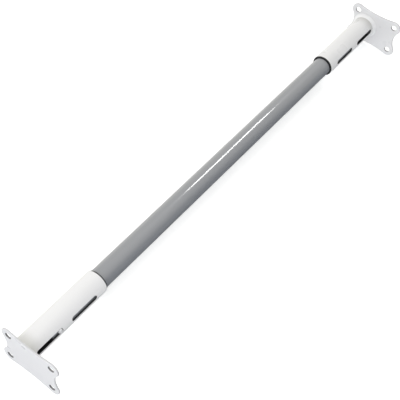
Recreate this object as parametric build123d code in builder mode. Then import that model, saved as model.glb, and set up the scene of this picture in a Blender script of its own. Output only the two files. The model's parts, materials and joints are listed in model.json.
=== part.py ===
from build123d import *
import os

# Telescopic doorway pull up bar. A grip tube slides at both ends in a sleeve that is welded to a wall plate.
# X runs along the bar, Y along the plates' long side, Z up along their short side.
# The origin is midway between the two wall faces and under the middle of the plates, on the surface that
# their long edges stand on.

# Wall plates
plate_length = 100.0
plate_height = 75.0
plate_thickness = 3.0
plate_edge_radius = 1.0
ear_radius = 12.5  # each ear is round about its screw hole
long_side_waist = 33.5  # half height of the plate at the middle of its long sides
short_side_waist = 42.5  # half length of the plate at the middle of its short sides
screw_hole_radius = 5.0
tube_offset_y = 17.5  # the tubes stand off the middle of the plates

# Sleeves, with two slots in line
sleeve_length = 151.0  # from the wall face to the mouth
sleeve_radius = 19.0
sleeve_wall = 1.5
sleeve_edge_radius = 0.4
slot_length = 50.0
slot_width = 8.5
slot_starts = (12.5, 80.5)  # from the wall face to the near end of each slot
slot_edge_radius = 0.3
slot_angle = 12.0  # degrees that the slots are turned up from the -Y direction
weld_leg = 4.8
weld_hollow = 0.36  # depth of the weld's middle over the corner, as a share of its leg

# Mouth bushes
bush_length = 15.0
bush_lip_radius = 17.6
bush_lip_thickness = 2.2
running_gap = 0.05

# Grip tube and the plugs in its ends
tube_length = 800.0
tube_radius = 16.0
tube_wall = 1.8
left_tube_end = 43.5  # from the left wall face to the tube's end
right_tube_end = 56.5  # from the right wall face to the tube's end
plug_radius = 17.2
plug_head = 2.5
plug_spigot = 8.0
plug_wall = 2.5

# Spring buttons and their clips, at their height over the tube's axis
button_inset = 14.5  # from the tube's end to the button's axis
button_radius = 3.5
button_hole_radius = 3.8
button_top = 19.4
button_dome = 1.4
button_foot = 11.5
flange_radius = 5.0
flange_thickness = 1.2
button_depth = (0.0, 2.4)  # how far in the left and the right button stand
strip_thickness = 0.9
strip_width = 8.0
strip_bottom = -13.5
strip_reach = 5.0  # length of each arm past the button
strip_span = 24.0  # from the button to the start of the bend
strip_split = 0.4  # gap between the moving arm and the bend

sleeve_bore = sleeve_radius - sleeve_wall
tube_bore = tube_radius - tube_wall
overall_length = left_tube_end + tube_length + right_tube_end
half_length = overall_length / 2
tube_z = plate_height / 2
screw_spacing_y = plate_length - 2 * ear_radius
screw_spacing_z = plate_height - 2 * ear_radius
bar_axis = Axis((0, tube_offset_y, tube_z), (1, 0, 0))
slot_normal = Vector(0, -1, 0).rotate(Axis.X, -slot_angle)

# One entry for each end: name, direction of its wall, where the tube ends and how far in its button stands
ends = (
    ("left", -1, left_tube_end, button_depth[0]),
    ("right", 1, right_tube_end, button_depth[1]),
)


def across(x, y=tube_offset_y):
    """A plane across the bar at x, whose x and y directions are Y and Z."""
    return Plane(origin=(x, y, tube_z), x_dir=(0, 1, 0), z_dir=(1, 0, 0))


def facing_slots(x):
    """A plane on the bar's axis at x that faces the slots, whose x direction is X."""
    return Plane(origin=(x, tube_offset_y, tube_z), x_dir=(1, 0, 0), z_dir=slot_normal)


def beside_slots(x, inward):
    """A plane on the bar's axis at x: x runs towards the bar's middle and y towards the slots."""
    start = Vector(x, tube_offset_y, tube_z)
    along = Vector(inward, 0, 0)
    return Plane(origin=start, x_dir=along, z_dir=along.cross(slot_normal))


def finish(piece, name):
    """Labels a finished piece and writes it under its own name."""
    piece.part.label = name
    export_step(piece.part, f"parts/{name}.step")


def waist_radius(reach, rise):
    """Radius of a side between two ears whose waist is reach from each and rise above their centres."""
    return (reach**2 + rise**2 - ear_radius**2) / (2 * (ear_radius - rise))


def make_wall_plate(wall):
    """A plate with four rounded ears, hollow sides and a screw hole in each ear."""
    ear = Vector(plate_length / 2 - ear_radius, plate_height / 2 - ear_radius)
    long_radius = waist_radius(ear.X, long_side_waist - ear.Y)
    short_radius = waist_radius(ear.Y, short_side_waist - ear.X)
    long_centre = Vector(0, long_side_waist + long_radius)
    short_centre = Vector(short_side_waist + short_radius, 0)
    long_touch = ear + (long_centre - ear).normalized() * ear_radius
    short_touch = ear + (short_centre - ear).normalized() * ear_radius
    with BuildPart() as plate:
        with BuildSketch(across(wall * half_length, 0)):
            with BuildLine():
                long_side = TangentArc((0, long_side_waist), long_touch, tangent=(1, 0))
                corner = TangentArc(long_touch, short_touch, tangent=long_side % 1)
                TangentArc(short_touch, (short_side_waist, 0), tangent=corner % 1)
                mirror(about=Plane.XZ)
                mirror(about=Plane.YZ)
            make_face()
            with GridLocations(screw_spacing_y, screw_spacing_z, 2, 2):
                Circle(screw_hole_radius, mode=Mode.SUBTRACT)
        extrude(amount=-wall * plate_thickness)
        faces_across = plate.faces().filter_by(Axis.X)
        fillet(faces_across.edges(), plate_edge_radius)
    return plate


def make_sleeve(wall):
    """A tube from the plate to its mouth, with two slots in line through the side that faces the slots."""
    with BuildPart() as sleeve:
        with BuildSketch(across(wall * (half_length - plate_thickness))):
            Circle(sleeve_radius)
            Circle(sleeve_bore, mode=Mode.SUBTRACT)
        extrude(amount=-wall * (sleeve_length - plate_thickness))
        mouth = sleeve.faces().sort_by(Axis.X)[0 if wall > 0 else -1]
        fillet(mouth.edges().sort_by(SortBy.RADIUS)[-1], sleeve_edge_radius)
        for start in slot_starts:
            with BuildSketch(facing_slots(wall * (half_length - start - slot_length / 2))):
                SlotOverall(slot_length, slot_width)
            extrude(amount=sleeve_radius + slot_width, mode=Mode.SUBTRACT)
        outer_skin = sleeve.faces().filter_by(GeomType.CYLINDER).sort_by(SortBy.AREA)[-1]
        slot_rims = outer_skin.inner_wires()
        fillet([edge for rim in slot_rims for edge in rim.edges()], slot_edge_radius)
    return sleeve


def make_weld(wall):
    """The fillet bead between the plate and the sleeve, hollow like a weld under thick powder coat."""
    foot = wall * (half_length - plate_thickness)
    section = Plane(origin=(foot, tube_offset_y, tube_z), x_dir=(-wall, 0, 0), z_dir=(0, wall, 0))
    with BuildPart() as weld:
        with BuildSketch(section):
            with BuildLine():
                corner = (0, sleeve_radius)
                on_plate = (0, sleeve_radius + weld_leg)
                on_sleeve = (weld_leg, sleeve_radius)
                Polyline(on_plate, corner, on_sleeve)
                middle = (weld_hollow * weld_leg, sleeve_radius + weld_hollow * weld_leg)
                ThreePointArc(on_sleeve, middle, on_plate)
            make_face()
        revolve(axis=bar_axis)
    return weld


def make_mouth_bush(wall):
    """A plastic bush inside the sleeve's mouth, with a thin lip that covers part of the sleeve's end."""
    mouth = wall * (half_length - sleeve_length)
    with BuildPart() as bush:
        with BuildSketch(across(mouth)):
            Circle(sleeve_bore)
        extrude(amount=wall * bush_length)
        with BuildSketch(across(mouth)):
            Circle(bush_lip_radius)
        extrude(amount=-wall * bush_lip_thickness)
        with BuildSketch(across(mouth - wall * bush_lip_thickness)):
            Circle(tube_radius + running_gap)
        extrude(amount=wall * (bush_length + bush_lip_thickness), mode=Mode.SUBTRACT)
    return bush


def make_end_plug(wall, tube_end):
    """A cup-shaped plug: its head guides the tube's end in the sleeve, and its spigot sits in the tube."""
    end = wall * (half_length - tube_end)
    with BuildPart() as plug:
        with BuildSketch(across(end)):
            Circle(plug_radius)
        extrude(amount=wall * plug_head)
        with BuildSketch(across(end)):
            Circle(tube_bore)
            Circle(tube_bore - plug_wall, mode=Mode.SUBTRACT)
        extrude(amount=-wall * plug_spigot)
    return plug


def make_button(wall, tube_end, depth):
    """A domed button on a flange that stops it under the tube's wall."""
    centre = wall * (half_length - tube_end - button_inset)
    with BuildPart() as button:
        with BuildSketch(facing_slots(centre).offset(button_foot - depth)):
            Circle(flange_radius)
        extrude(amount=flange_thickness)
        with BuildSketch(facing_slots(centre).offset(button_foot + flange_thickness - depth)):
            Circle(button_radius)
        extrude(amount=button_top - button_foot - flange_thickness)
        crown = button.edges().filter_by(GeomType.CIRCLE).sort_by(Axis(bar_axis.position, slot_normal))[-1]
        fillet(crown, button_dome)
    return button


def make_clip_arm(wall, tube_end, depth):
    """The straight arm of the strip spring, which carries the button."""
    centre = wall * (half_length - tube_end - button_inset)
    arm_length = strip_reach + strip_span - strip_split
    with BuildPart() as arm:
        with BuildSketch(beside_slots(centre, -wall)):
            with Locations((-strip_reach, button_foot - strip_thickness - depth)):
                Rectangle(arm_length, strip_thickness, align=(Align.MIN, Align.MIN))
        extrude(amount=strip_width / 2, both=True)
    return arm


def make_clip_base(wall, tube_end):
    """The rest of the strip spring: the arm that lies on the tube's far side, and the round bend."""
    centre = wall * (half_length - tube_end - button_inset)
    bend_outer = (button_foot - strip_bottom) / 2
    bend_centre = (strip_span, (button_foot + strip_bottom) / 2)
    with BuildPart() as base:
        with BuildSketch(beside_slots(centre, -wall)):
            with Locations(bend_centre):
                Circle(bend_outer)
                Circle(bend_outer - strip_thickness, mode=Mode.SUBTRACT)
                Rectangle(2 * bend_outer, 2 * bend_outer, align=(Align.MAX, Align.CENTER), mode=Mode.SUBTRACT)
            with Locations((-strip_reach, strip_bottom)):
                Rectangle(strip_reach + strip_span, strip_thickness, align=(Align.MIN, Align.MIN))
        extrude(amount=strip_width / 2, both=True)
    return base


os.makedirs("parts", exist_ok=True)

with BuildPart() as grip_tube:
    with BuildSketch(across(left_tube_end - half_length)):
        Circle(tube_radius)
        Circle(tube_bore, mode=Mode.SUBTRACT)
    extrude(amount=tube_length)
    for _, wall, tube_end, _ in ends:
        with BuildSketch(facing_slots(wall * (half_length - tube_end - button_inset))):
            Circle(button_hole_radius)
        extrude(amount=tube_radius, mode=Mode.SUBTRACT)
finish(grip_tube, "grip_tube")

for side, wall, tube_end, depth in ends:
    finish(make_wall_plate(wall), f"{side}_wall_plate")
    finish(make_sleeve(wall), f"{side}_sleeve")
    finish(make_weld(wall), f"{side}_weld")
    finish(make_mouth_bush(wall), f"{side}_mouth_bush")
    finish(make_end_plug(wall, tube_end), f"{side}_end_plug")
    finish(make_button(wall, tube_end, depth), f"{side}_button")
    finish(make_clip_arm(wall, tube_end, depth), f"{side}_clip_arm")
    finish(make_clip_base(wall, tube_end), f"{side}_clip_base")
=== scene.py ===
import json
import math

import bmesh
import bpy
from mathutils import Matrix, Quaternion, Vector


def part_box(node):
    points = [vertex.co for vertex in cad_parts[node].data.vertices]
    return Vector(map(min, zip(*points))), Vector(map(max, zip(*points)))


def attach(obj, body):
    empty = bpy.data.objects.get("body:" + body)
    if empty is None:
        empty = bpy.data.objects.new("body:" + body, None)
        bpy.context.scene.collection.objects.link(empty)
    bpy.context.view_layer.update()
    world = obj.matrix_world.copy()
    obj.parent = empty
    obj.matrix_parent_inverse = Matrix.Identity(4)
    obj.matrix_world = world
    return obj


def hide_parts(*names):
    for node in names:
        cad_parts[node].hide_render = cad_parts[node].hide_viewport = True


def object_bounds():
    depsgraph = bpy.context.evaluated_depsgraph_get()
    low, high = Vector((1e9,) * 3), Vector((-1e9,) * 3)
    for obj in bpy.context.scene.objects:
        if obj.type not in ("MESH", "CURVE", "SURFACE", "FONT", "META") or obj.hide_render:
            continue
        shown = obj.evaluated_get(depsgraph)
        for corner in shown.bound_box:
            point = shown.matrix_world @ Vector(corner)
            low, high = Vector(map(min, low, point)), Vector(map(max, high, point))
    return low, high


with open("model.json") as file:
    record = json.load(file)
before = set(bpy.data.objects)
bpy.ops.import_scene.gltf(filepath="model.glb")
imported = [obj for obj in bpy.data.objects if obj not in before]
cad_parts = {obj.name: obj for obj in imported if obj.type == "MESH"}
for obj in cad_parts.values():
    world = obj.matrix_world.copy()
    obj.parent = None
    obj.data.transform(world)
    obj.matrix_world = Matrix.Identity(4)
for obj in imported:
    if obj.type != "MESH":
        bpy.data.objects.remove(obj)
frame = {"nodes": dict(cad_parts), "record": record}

cad_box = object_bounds()
MM = 0.001


# ---------------------------------------------------------------- node helpers


def new_material(name, colour, roughness, metallic=0.0, coat=0.0, coat_roughness=0.05):
    """A material with the values that are the same all over its surface."""
    made = bpy.data.materials.new(name)
    made.use_nodes = True
    shader = made.node_tree.nodes["Principled BSDF"]
    shader.inputs["Base Color"].default_value = (*colour, 1.0)
    shader.inputs["Roughness"].default_value = roughness
    shader.inputs["Metallic"].default_value = metallic
    shader.inputs["Coat Weight"].default_value = coat
    shader.inputs["Coat Roughness"].default_value = coat_roughness
    return made, made.node_tree, shader


def noise(tree, size, detail=2.0, stretch=(1.0, 1.0, 1.0)):
    """Noise whose blobs are about size across, in metres, and stretched along each axis as stretch says."""
    place = tree.nodes.new("ShaderNodeTexCoord")
    mapping = tree.nodes.new("ShaderNodeMapping")
    mapping.inputs["Scale"].default_value = [1.0 / (size * s) for s in stretch]
    texture = tree.nodes.new("ShaderNodeTexNoise")
    texture.inputs["Scale"].default_value = 1.0
    texture.inputs["Detail"].default_value = detail
    tree.links.new(place.outputs["Object"], mapping.inputs["Vector"])
    tree.links.new(mapping.outputs["Vector"], texture.inputs["Vector"])
    return texture.outputs["Fac"]


def remap(tree, value, from_low, from_high, low, high):
    """A value carried from one range to another, with its ends held."""
    node = tree.nodes.new("ShaderNodeMapRange")
    node.interpolation_type = "SMOOTHSTEP"
    limits = {"From Min": from_low, "From Max": from_high, "To Min": low, "To Max": high}
    for socket, number in limits.items():
        node.inputs[socket].default_value = number
    tree.links.new(value, node.inputs["Value"])
    return node.outputs["Result"]


def combine(tree, operation, first, second=None):
    """A value worked out from one or two others, the second of which may be a plain number."""
    node = tree.nodes.new("ShaderNodeMath")
    node.operation = operation
    tree.links.new(first, node.inputs[0])
    if isinstance(second, float):
        node.inputs[1].default_value = second
    elif second is not None:
        tree.links.new(second, node.inputs[1])
    return node.outputs[0]


def tint(tree, share, colour, other):
    """A colour that goes from colour to other as share goes from 0 to 1."""
    node = tree.nodes.new("ShaderNodeMix")
    node.data_type = "RGBA"
    first, second = (s for s in node.inputs if s.type == "RGBA")
    if isinstance(colour, tuple):
        first.default_value = (*colour, 1.0)
    else:
        tree.links.new(colour, first)
    second.default_value = (*other, 1.0)
    tree.links.new(share, node.inputs["Factor"])
    return next(s for s in node.outputs if s.type == "RGBA")


def edges(tree, radius):
    """About 1 on edges sharper than radius, in metres, and 0 on open faces."""
    rounded = tree.nodes.new("ShaderNodeBevel")
    rounded.inputs["Radius"].default_value = radius
    rounded.samples = 6
    plain = tree.nodes.new("ShaderNodeNewGeometry")
    likeness = tree.nodes.new("ShaderNodeVectorMath")
    likeness.operation = "DOT_PRODUCT"
    tree.links.new(rounded.outputs["Normal"], likeness.inputs[0])
    tree.links.new(plain.outputs["Normal"], likeness.inputs[1])
    return remap(tree, likeness.outputs["Value"], 0.99, 0.75, 0.0, 1.0)


def inside(tree, centre, radius):
    """0 on the skin of a tube that lies along X, and 1 a little way into its wall and in its bore."""
    place = tree.nodes.new("ShaderNodeTexCoord")
    across = tree.nodes.new("ShaderNodeVectorMath")
    across.operation = "MULTIPLY_ADD"
    across.inputs[1].default_value = (0.0, 1.0, 1.0)
    across.inputs[2].default_value = (0.0, -centre.y, -centre.z)
    length = tree.nodes.new("ShaderNodeVectorMath")
    length.operation = "LENGTH"
    tree.links.new(place.outputs["Object"], across.inputs[0])
    tree.links.new(across.outputs["Vector"], length.inputs[0])
    return remap(tree, length.outputs["Value"], radius - 0.15 * MM, radius - 0.4 * MM, 0.0, 1.0)


def rims(tree):
    """0 on faces across the bar, and 1 on a plate's rounded edge and in its holes."""
    place = tree.nodes.new("ShaderNodeTexCoord")
    split = tree.nodes.new("ShaderNodeSeparateXYZ")
    tree.links.new(place.outputs["Normal"], split.inputs[0])
    along = combine(tree, "ABSOLUTE", split.outputs["X"])
    return remap(tree, along, 0.95, 0.45, 0.0, 1.0)


def near_plates(tree, plate_face, reach):
    """0 at reach from either plate, and 1 at its face."""
    place = tree.nodes.new("ShaderNodeTexCoord")
    split = tree.nodes.new("ShaderNodeSeparateXYZ")
    tree.links.new(place.outputs["Object"], split.inputs[0])
    along = combine(tree, "ABSOLUTE", split.outputs["X"])
    return remap(tree, along, plate_face - reach, plate_face, 0.0, 1.0)


def near_screws(tree, centre, spacing, radius):
    """1 within radius of a plate's four screws, spacing apart about centre, and 0 further away."""
    place = tree.nodes.new("ShaderNodeTexCoord")
    steps = [
        ("SUBTRACT", centre),
        ("MULTIPLY", (0.0, 1.0, 1.0)),
        ("ABSOLUTE", None),
        ("SUBTRACT", spacing / 2),
    ]
    value = place.outputs["Object"]
    for operation, number in steps:
        node = tree.nodes.new("ShaderNodeVectorMath")
        node.operation = operation
        tree.links.new(value, node.inputs[0])
        if number is not None:
            node.inputs[1].default_value = number
        value = node.outputs["Vector"]
    length = tree.nodes.new("ShaderNodeVectorMath")
    length.operation = "LENGTH"
    tree.links.new(value, length.inputs[0])
    return remap(tree, length.outputs["Value"], radius + 0.2 * MM, radius - 0.2 * MM, 0.0, 1.0)


def bump(tree, height, depth, below=None):
    """A bump of depth metres from a height that goes from 0 to 1, laid over the bump below it."""
    node = tree.nodes.new("ShaderNodeBump")
    node.inputs["Distance"].default_value = depth
    tree.links.new(height, node.inputs["Height"])
    if below is not None:
        tree.links.new(below, node.inputs["Normal"])
    return node.outputs["Normal"]


# ---------------------------------------------------------------- materials


WHITE = (0.77, 0.77, 0.785)
BEAD_HIGHLIGHT_WHITE = (0.88, 0.88, 0.89)  # painted highlight: a whiter coat on the weld beads, so that they read as a bright ring
WORN_WHITE = (0.58, 0.58, 0.6)  # on sharp edges
SHADED_WHITE = (0.56, 0.56, 0.54)  # on the sleeves, at the plates
RIM_SHADE_GREY = (0.56, 0.56, 0.58)  # painted shade on the plates' rounded edges
# painted shade: dark on the walls of the plates' screw holes
HOLE_SHADE_DARK = (0.18, 0.18, 0.185)
# painted shade: dark in the sleeves' slot walls and bores
BORE_SHADE_DARK = (0.06, 0.06, 0.062)
SHADE_REACH = 26 * MM  # how far the sleeves' greyer ends reach from the plates
HOLE_EDGE = 0.6 * MM  # how far the painted shade of a screw hole reaches past its wall


def powder_coat(name, *painted_shade_places, full=WHITE, edge_wear=1.0):
    """Glossy white powder with orange peel and fine specks, and a greyer coat on sharp edges.

    Each of painted_shade_places is a painted shade colour and a function that makes the share of it at each
    point.
    """
    made, tree, shader = new_material(name, full, 0.28, coat=0.2, coat_roughness=0.08)
    peel = noise(tree, 2.4 * MM, 2.0)
    grain = noise(tree, 0.35 * MM, 1.0)
    cloud = noise(tree, 45 * MM, 3.0)
    soiling = remap(tree, cloud, 0.35, 0.8, 0.0, 0.04)
    worn = combine(tree, "MAXIMUM", combine(tree, "MULTIPLY", edges(tree, 0.7 * MM), edge_wear), soiling)
    colour = tint(tree, worn, full, WORN_WHITE)
    for shade_colour, share in painted_shade_places:
        colour = tint(tree, share(tree), colour, shade_colour)
    tree.links.new(colour, shader.inputs["Base Color"])
    tree.links.new(remap(tree, cloud, 0.3, 0.7, 0.27, 0.3), shader.inputs["Roughness"])
    relief = bump(tree, grain, 0.006 * MM, bump(tree, peel, 0.03 * MM))
    tree.links.new(relief, shader.inputs["Normal"])
    return made


def grey_paint():
    """Satin grey paint, with faint rub marks along the tube where it slides in the sleeves."""
    made, tree, shader = new_material("grey_paint", (0.23, 0.24, 0.26), 0.34, coat=1.0, coat_roughness=0.05)
    shader.inputs["Coat IOR"].default_value = 1.7
    peel = noise(tree, 1.8 * MM, 2.0)
    cloud = noise(tree, 60 * MM, 3.0)
    rubs = noise(tree, 0.7 * MM, 3.0, stretch=(60.0, 1.0, 1.0))
    rubbed = remap(tree, rubs, 0.62, 0.74, 0.0, 1.0)
    rub_marks = combine(tree, "MULTIPLY", rubbed, cloud)
    colour = tint(tree, rub_marks, (0.228, 0.237, 0.258), (0.273, 0.281, 0.296))
    tree.links.new(colour, shader.inputs["Base Color"])
    satin = remap(tree, cloud, 0.3, 0.7, 0.33, 0.41)
    sheen = combine(tree, "MULTIPLY", rubbed, 0.06)
    tree.links.new(combine(tree, "SUBTRACT", satin, sheen), shader.inputs["Roughness"])
    relief = bump(tree, rubbed, 0.004 * MM, bump(tree, peel, 0.012 * MM))
    tree.links.new(relief, shader.inputs["Normal"])
    return made


def black_plastic():
    """Moulded black plastic with a fine spark-eroded grain, polished where it rubs."""
    made, tree, shader = new_material("black_plastic", (0.018, 0.018, 0.02), 0.48)
    shader.inputs["Specular IOR Level"].default_value = 0.2
    grain = noise(tree, 0.25 * MM, 3.0)
    dust = noise(tree, 6 * MM, 4.0)
    polished = edges(tree, 0.6 * MM)
    dusty = remap(tree, dust, 0.5, 0.8, 0.0, 0.6)
    colour = tint(tree, dusty, (0.016, 0.016, 0.018), (0.05, 0.05, 0.05))
    tree.links.new(colour, shader.inputs["Base Color"])
    dull = remap(tree, dust, 0.3, 0.7, 0.42, 0.58)
    sheen = combine(tree, "MULTIPLY", polished, 0.2)
    tree.links.new(combine(tree, "SUBTRACT", dull, sheen), shader.inputs["Roughness"])
    tree.links.new(bump(tree, grain, 0.02 * MM), shader.inputs["Normal"])
    return made


def bright_zinc():
    """Bright zinc plating, faintly cloudy, with fine turning marks."""
    made, tree, shader = new_material("bright_zinc", (0.9, 0.91, 0.92), 0.4, metallic=0.3)
    cloud = noise(tree, 1.6 * MM, 3.0)
    marks = noise(tree, 0.12 * MM, 2.0)
    tree.links.new(tint(tree, cloud, (0.96, 0.96, 0.97), (0.84, 0.85, 0.88)), shader.inputs["Base Color"])
    tree.links.new(remap(tree, cloud, 0.3, 0.7, 0.34, 0.48), shader.inputs["Roughness"])
    tree.links.new(bump(tree, marks, 0.004 * MM), shader.inputs["Normal"])
    return made


def spring_steel():
    """Blued strip steel, brushed along its length."""
    made, tree, shader = new_material("spring_steel", (0.3, 0.3, 0.32), 0.36, metallic=1.0)
    brushing = noise(tree, 0.15 * MM, 2.0, stretch=(40.0, 1.0, 1.0))
    heat = noise(tree, 9 * MM, 2.0)
    tree.links.new(tint(tree, heat, (0.33, 0.33, 0.34), (0.2, 0.21, 0.27)), shader.inputs["Base Color"])
    tree.links.new(remap(tree, brushing, 0.3, 0.7, 0.28, 0.46), shader.inputs["Roughness"])
    tree.links.new(bump(tree, brushing, 0.005 * MM), shader.inputs["Normal"])
    return made


def sleeve_coat():
    """The sleeves' powder coat, with painted shade: greyer where the plates shade it, and dark in the slot
    walls and bore.
    """
    low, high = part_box("left_sleeve")
    centre = (low + high) / 2
    radius = (high.y - low.y) / 2
    return powder_coat(
        "sleeve_powder_coat",
        (SHADED_WHITE, lambda tree: near_plates(tree, -low.x, SHADE_REACH)),
        (BORE_SHADE_DARK, lambda tree: inside(tree, centre, radius)),
    )


def plate_coat():
    """The plates' powder coat, with painted shade: grey round their edges and dark in their holes."""
    low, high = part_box("left_wall_plate")
    centre = (low + high) / 2
    mount = next(m for m in frame["record"]["mounts"] if m["name"] == "left_wall_holes")
    holes = mount["dims"]
    spacing = Vector((0.0, holes["spacing_x_mm"], holes["spacing_y_mm"])) * MM
    reach = holes["hole_r_mm"] * MM + HOLE_EDGE

    def hole_walls(tree):
        return combine(tree, "MULTIPLY", rims(tree), near_screws(tree, centre, spacing, reach))

    return powder_coat("plate_powder_coat", (RIM_SHADE_GREY, rims), (HOLE_SHADE_DARK, hole_walls))


MATERIALS = {
    "white_powder_coat": powder_coat("white_powder_coat"),
    "grey_paint": grey_paint(),
    "black_plastic": black_plastic(),
    "bright_zinc": bright_zinc(),
    "spring_steel": spring_steel(),
}
OWN_COATS = {"sleeve": sleeve_coat(), "wall_plate": plate_coat()}
# painted highlight: the weld beads wear a whiter coat than the sleeves and plates
BEAD_COAT = powder_coat("bead_powder_coat", full=BEAD_HIGHLIGHT_WHITE, edge_wear=0.0)


def wear(piece, slot, material=None):
    """Gives a piece the material of one of the record's slots, or another material if one is given."""
    piece.data.materials.clear()
    piece.data.materials.append(material or MATERIALS[slot])


for part in frame["record"]["subparts"]:
    kind = part["node"].partition("_")[2]
    wear(frame["nodes"][part["node"]], part["material_slot"], OWN_COATS.get(kind))


# ---------------------------------------------------------------- weld beads

BEAD_RIPPLE = 0.14 * MM
BEAD_PITCH = 3.4 * MM
BEAD_FILL = 0.32  # 0 is a hollow quarter circle, 1 a flat slope
BEAD_STEPS = 12  # points across the bead
STEPS_PER_RIPPLE = 12


def bead_point(leg, across, phase):
    """How far out from the sleeve and along from the plate a point of the bead's cove is."""
    turn = across * math.pi / 2
    crown = math.sin(math.pi * across)
    lag = 1.4 * crown  # makes each ripple a crescent
    ripple = BEAD_RIPPLE * crown * (abs(math.sin((phase + lag) / 2)) - 1)
    out = leg * ((1 - BEAD_FILL) * (1 - math.cos(turn)) + BEAD_FILL * across)
    along = leg * ((1 - BEAD_FILL) * (1 - math.sin(turn)) + BEAD_FILL * (1 - across))
    return out + ripple / math.sqrt(2), along + ripple / math.sqrt(2)


def weld_bead(side, wall):
    """The rippled cove of weld between a sleeve and its plate, in place of the plain CAD ring."""
    low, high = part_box(f"{side}_weld")
    sleeve_low, sleeve_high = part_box(f"{side}_sleeve")
    centre = (low + high) / 2
    sleeve_radius = (sleeve_high.y - sleeve_low.y) / 2
    leg = high.x - low.x
    plate_face = high.x if wall > 0 else low.x
    ripples = round(2 * math.pi * (sleeve_radius + leg / 2) / BEAD_PITCH)
    around = ripples * STEPS_PER_RIPPLE
    mesh = bmesh.new()
    rings = []
    for i in range(around):
        angle = 2 * math.pi * i / around
        section = [bead_point(leg, j / BEAD_STEPS, ripples * angle) for j in range(BEAD_STEPS + 1)]
        section.append((0.0, 0.0))  # the root, where the sleeve meets the plate
        rings.append([mesh.verts.new((
            plate_face - wall * along,
            centre.y + (sleeve_radius + out) * math.cos(angle),
            centre.z + (sleeve_radius + out) * math.sin(angle),
        )) for out, along in section])
    for i in range(around):
        here, there = rings[i], rings[(i + 1) % around]
        for j in range(len(here)):
            k = (j + 1) % len(here)
            mesh.faces.new((here[j], there[j], there[k], here[k]))
    bmesh.ops.recalc_face_normals(mesh, faces=mesh.faces)
    data = bpy.data.meshes.new(f"{side}_weld_bead")
    mesh.to_mesh(data)
    mesh.free()
    for face in data.polygons:
        face.use_smooth = face.index % (BEAD_STEPS + 2) < BEAD_STEPS
    bead = bpy.data.objects.new(f"{side}_weld_bead", data)
    bpy.context.scene.collection.objects.link(bead)
    # painted highlight: the bead's whiter coat
    wear(bead, "white_powder_coat", BEAD_COAT)
    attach(bead, f"{side}_bracket")
    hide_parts(f"{side}_weld")


weld_bead("left", -1)
weld_bead("right", 1)


# ---------------------------------------------------------------- floor, light and camera

FLOOR_SIZE = 60.0
BRIGHT_SIDE = (0.4, 0.6, 0.7)
BRIGHT_FROM = 0.5  # share of the way towards BRIGHT_SIDE, or away from it, where the light stops changing


def floor():
    """A plain pale floor that the plates stand on."""
    bpy.ops.mesh.primitive_plane_add(size=FLOOR_SIZE, location=(0, 0, cad_box[0].z))
    plane = bpy.context.object
    plane.name = "floor"
    made, tree, shader = new_material("pale_floor", (0.93, 0.93, 0.93), 0.8)
    shader.inputs["Specular IOR Level"].default_value = 0.1
    shader.inputs["Emission Color"].default_value = (0.96, 0.98, 1.0, 1.0)
    shader.inputs["Emission Strength"].default_value = 0.34  # a light table, which keeps the shadows faint
    plane.data.materials.append(made)
    plane.visible_glossy = False


def softbox(name, place, target, width, length, power, colour=(1.0, 1.0, 1.0)):
    """A rectangular soft light that faces target."""
    light = bpy.data.lights.new(name, "AREA")
    light.shape = "RECTANGLE"
    light.size = length
    light.size_y = width
    light.energy = power
    light.color = colour
    lamp = bpy.data.objects.new(name, light)
    lamp.location = place
    lamp.rotation_mode = "QUATERNION"
    lamp.rotation_quaternion = (Vector(target) - Vector(place)).to_track_quat("-Z", "Y")
    bpy.context.scene.collection.objects.link(lamp)
    return lamp


def surroundings(dim, bright):
    """Soft surroundings that go from dim to bright towards BRIGHT_SIDE."""
    world = bpy.data.worlds.new("studio")
    world.use_nodes = True
    tree = world.node_tree
    place = tree.nodes.new("ShaderNodeTexCoord")
    towards = tree.nodes.new("ShaderNodeVectorMath")
    towards.operation = "DOT_PRODUCT"
    towards.inputs[1].default_value = BRIGHT_SIDE
    tree.links.new(place.outputs["Generated"], towards.inputs[0])
    share = remap(tree, towards.outputs["Value"], -BRIGHT_FROM, BRIGHT_FROM, 0.0, 1.0)
    light = tint(tree, share, dim, bright)
    tree.links.new(light, tree.nodes["Background"].inputs["Color"])
    bpy.context.scene.world = world


def camera(place, target, roll, lens):
    """A level camera at place that looks at target, then rolled by roll degrees."""
    data = bpy.data.cameras.new("camera")
    data.sensor_width = 36.0
    data.lens = lens
    cam = bpy.data.objects.new("camera", data)
    aim = Vector(target) - Vector(place)
    cam.rotation_mode = "QUATERNION"
    tilt = Quaternion(aim.normalized(), math.radians(roll))
    cam.rotation_quaternion = tilt @ aim.to_track_quat("-Z", "Y")
    cam.location = place
    bpy.context.scene.collection.objects.link(cam)
    bpy.context.scene.camera = cam


floor()
surroundings(dim=(0.07, 0.085, 0.11), bright=(1.0, 0.99, 0.945))
softbox("overhead", (-0.5, 0.0, 1.8), (-0.3, 0.0, 0.04), width=1.6, length=1.6, power=7.0)
softbox("left", (-1.7, -0.3, 0.7), (-0.45, 0.0, 0.04), 1.0, 1.0, power=8.2, colour=(0.94, 0.95, 1.0))
streak = softbox("streak", (1.1, 0.28, 1.5), (0.05, 0.0, 0.04), width=0.42, length=0.28, power=5.2)
streak.visible_diffuse = False  # it only makes the thin highlight along the tube
camera((-0.8291, -0.4397, 1.1023), (-0.0859, -0.0031, 0.037), roll=-8.7, lens=81.0)
bpy.context.scene.view_settings.view_transform = "Standard"
